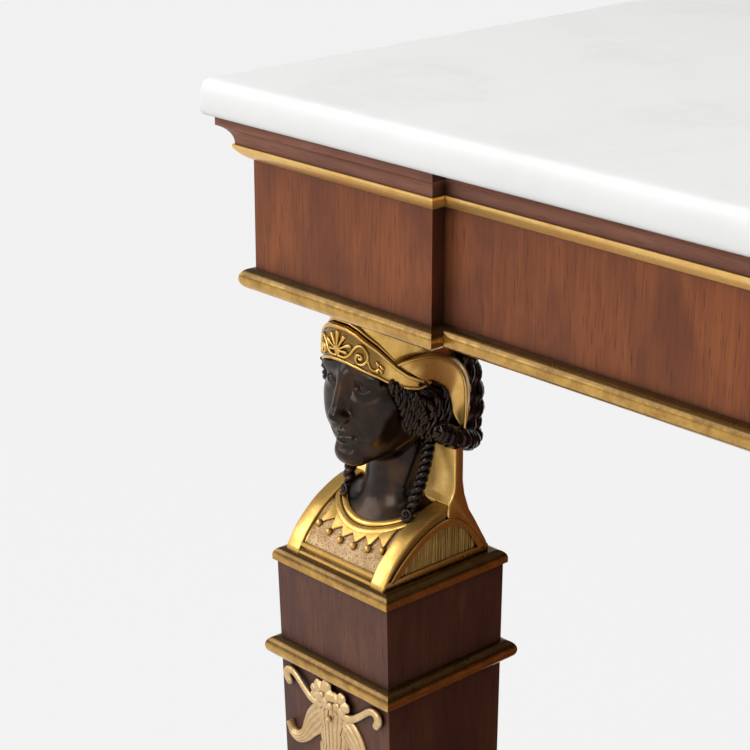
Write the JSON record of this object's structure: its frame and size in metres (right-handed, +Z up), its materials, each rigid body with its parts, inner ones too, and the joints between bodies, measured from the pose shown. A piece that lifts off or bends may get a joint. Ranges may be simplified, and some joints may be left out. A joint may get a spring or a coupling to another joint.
{
  "type": "pier table",
  "caption": "Pier table: marble slab on a mahogany apron with gilt mouldings, carried in front by tapering term legs with bronze busts, behind by pilasters, on a hollow-fronted plinth.",
  "frame": {"origin": "floor, under the middle of the marble slab", "axes": "+X along the table to the viewer's right, front towards -Y, +Z up"},
  "size_m": [1.3, 0.56, 0.88],
  "materials": {
    "marble": "honed white with faint veins",
    "mahogany": "french polished",
    "oak": "planed, unpolished",
    "gilt_burnished": "burnished gilding, toned",
    "gilt_matt": "matt and burnished gilding",
    "bronze": "dark patina, soft sheen",
    "iron": "plain"
  },
  "bodies": {
    "root": {"marble_top": "marble", "front_rail": "mahogany", "side_rail_left": "mahogany", "side_rail_right": "mahogany", "corner_block_left": "mahogany", "corner_block_right": "mahogany", "frieze_break_left": "mahogany", "frieze_break_right": "mahogany", "cornice_left": "mahogany", "cornice_front": "mahogany", "cornice_right": "mahogany", "leg_shaft_left": "mahogany", "leg_shaft_right": "mahogany", "rear_pilaster_left": "mahogany", "rear_pilaster_right": "mahogany", "back_panel": "mahogany", "plinth_board": "mahogany", "plinth_front_rail": "mahogany", "plinth_side_rail_left": "mahogany", "plinth_side_rail_right": "mahogany", "plinth_block_left": "mahogany", "plinth_block_right": "mahogany", "back_rail": "oak", "top_bearer": "oak", "glue_blocks": "oak", "plinth_back_rail": "oak", "gilt_ovolo_left": "gilt_burnished", "gilt_ovolo_front": "gilt_burnished", "gilt_ovolo_right": "gilt_burnished", "gilt_torus_left": "gilt_burnished", "gilt_torus_front": "gilt_burnished", "gilt_torus_right": "gilt_burnished", "leg_cap_moulding_left": "gilt_burnished", "leg_cap_moulding_right": "gilt_burnished", "leg_band_left": "gilt_burnished", "leg_band_right": "gilt_burnished", "leg_foot_moulding_left": "gilt_burnished", "leg_foot_moulding_right": "gilt_burnished", "pilaster_mouldings_left": "gilt_burnished", "pilaster_mouldings_right": "gilt_burnished", "plinth_band": "gilt_burnished", "veil_left": "gilt_matt", "veil_right": "gilt_matt", "diadem_left": "gilt_matt", "diadem_right": "gilt_matt", "herm_base_left": "gilt_matt", "herm_base_right": "gilt_matt", "shaft_mount_left": "gilt_matt", "shaft_mount_right": "gilt_matt", "caryatid_head_left": "bronze", "caryatid_head_right": "bronze", "bronze_feet_left": "bronze", "bronze_feet_right": "bronze", "leg_rod_left": "iron", "leg_rod_right": "iron", "rod_nuts": "iron"}
  },
  "joints": []
}
